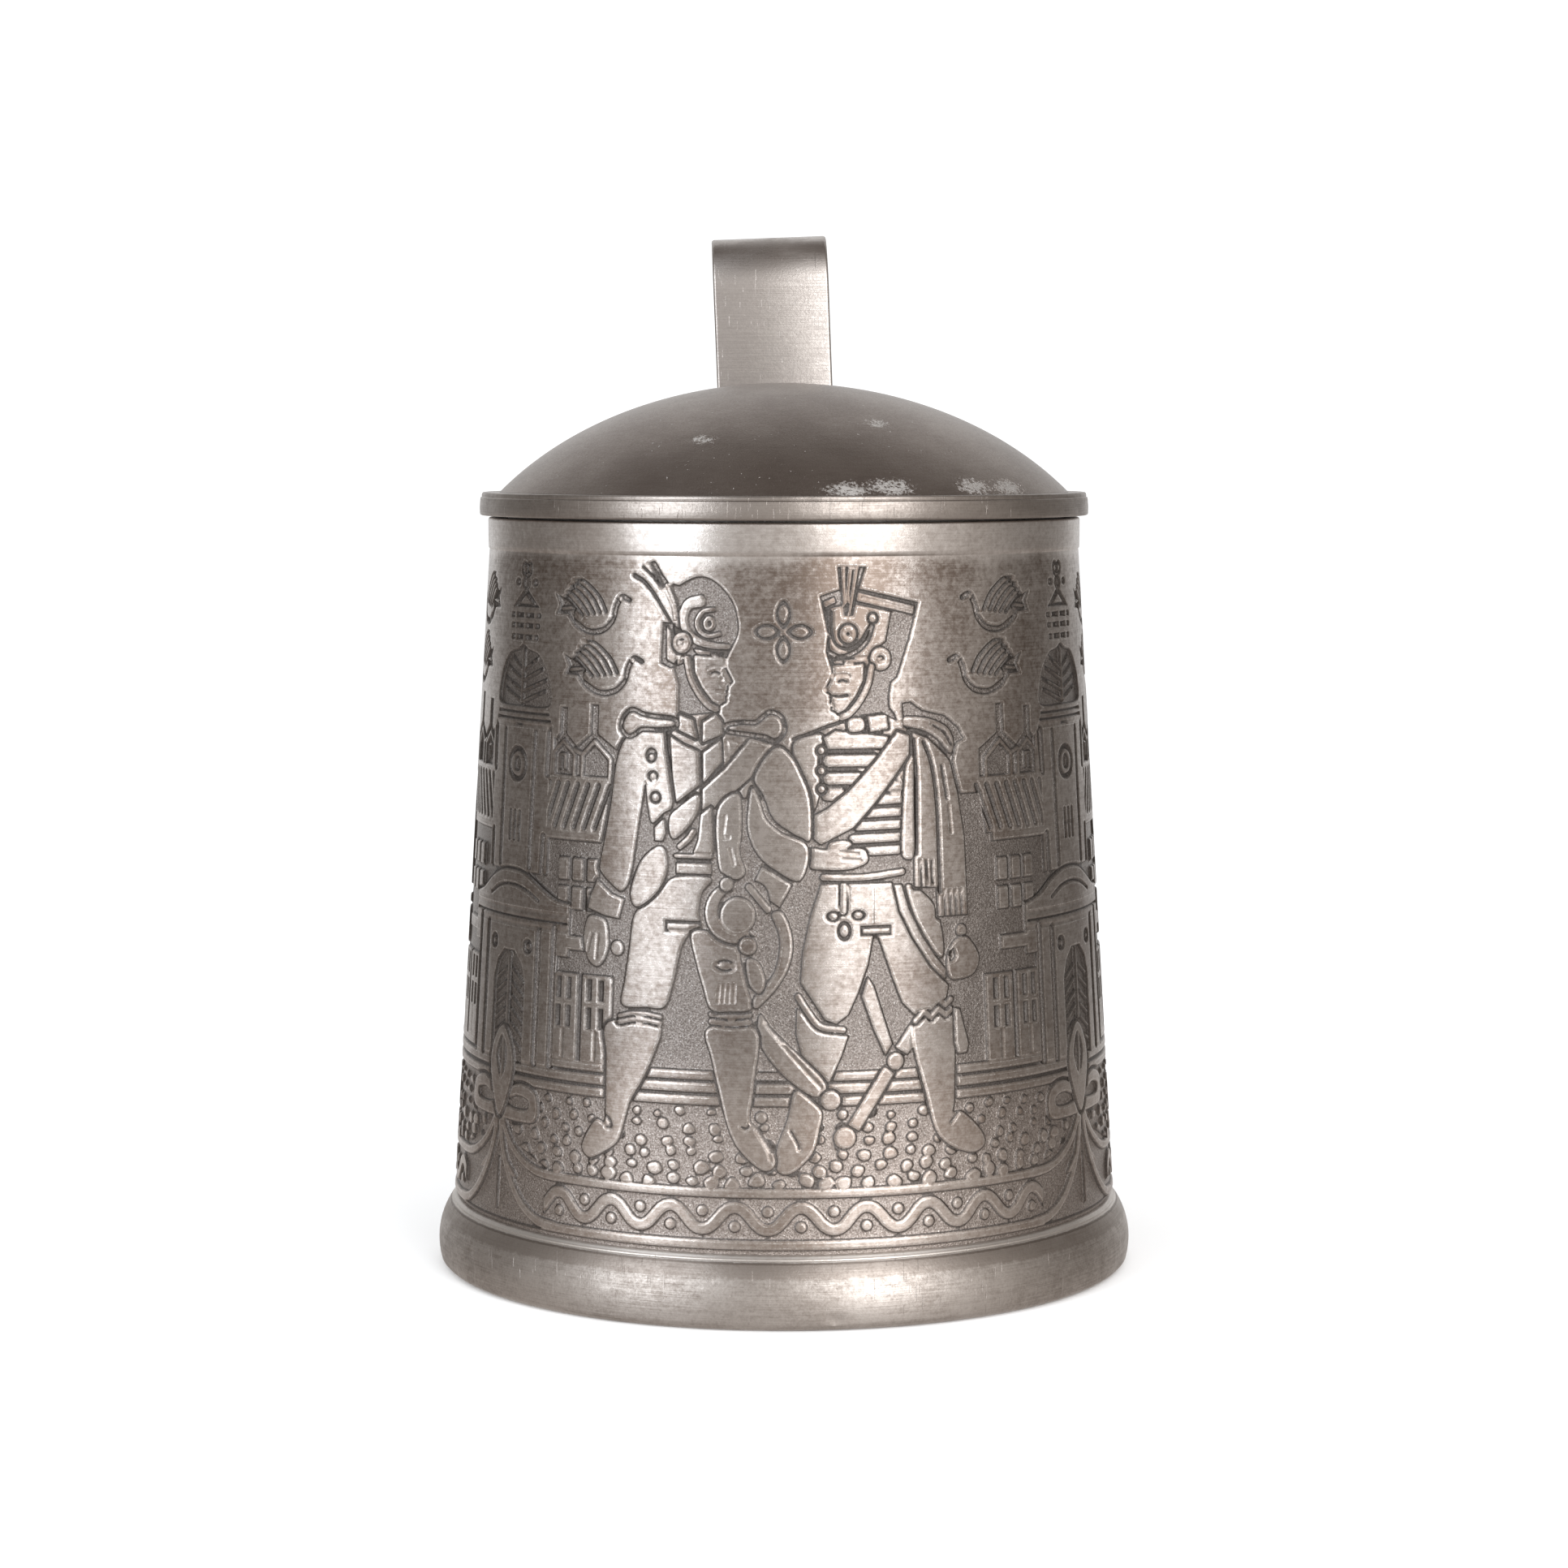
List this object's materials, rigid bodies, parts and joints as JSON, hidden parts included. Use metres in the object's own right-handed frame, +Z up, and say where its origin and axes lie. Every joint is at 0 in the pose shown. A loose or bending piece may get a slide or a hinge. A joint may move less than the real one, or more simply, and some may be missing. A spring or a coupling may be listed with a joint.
{
  "type": "lidded tankard",
  "caption": "Lidded pewter drinking tankard: tapered drum with low relief, turned foot, strap handle and a domed lid on a pin hinge with a thumb lift.",
  "frame": {"origin": "centre of the base, where the drum's axis meets the ground", "axes": "+Z up along the drum's axis; handle and lid hinge at +Y; decorated front at -Y; +X to the right seen from the front"},
  "size_m": [0.102, 0.141, 0.1527],
  "materials": {
    "pewter_relief": "satin",
    "pewter_dark": "satin",
    "pewter_bright": "satin",
    "pewter_plain": "satin"
  },
  "bodies": {
    "tankard": {"drum": "pewter_relief", "floor_disc": "pewter_plain", "foot_ring": "pewter_bright", "handle_strap": "pewter_plain", "hinge_bracket": "pewter_plain", "hinge_pin": "pewter_bright"},
    "lid": {"lid_rim": "pewter_bright", "lid_dome": "pewter_dark", "lid_seat_ring": "pewter_plain", "lid_shank": "pewter_plain", "thumb_lift": "pewter_plain"}
  },
  "joints": [
    {"name": "lid_hinge", "type": "hinge", "parent": "tankard", "child": "lid", "pos_m": [0, 0.0508, 0.111], "axis": [-1, 0, 0], "range_deg": [0, 100]}
  ]
}
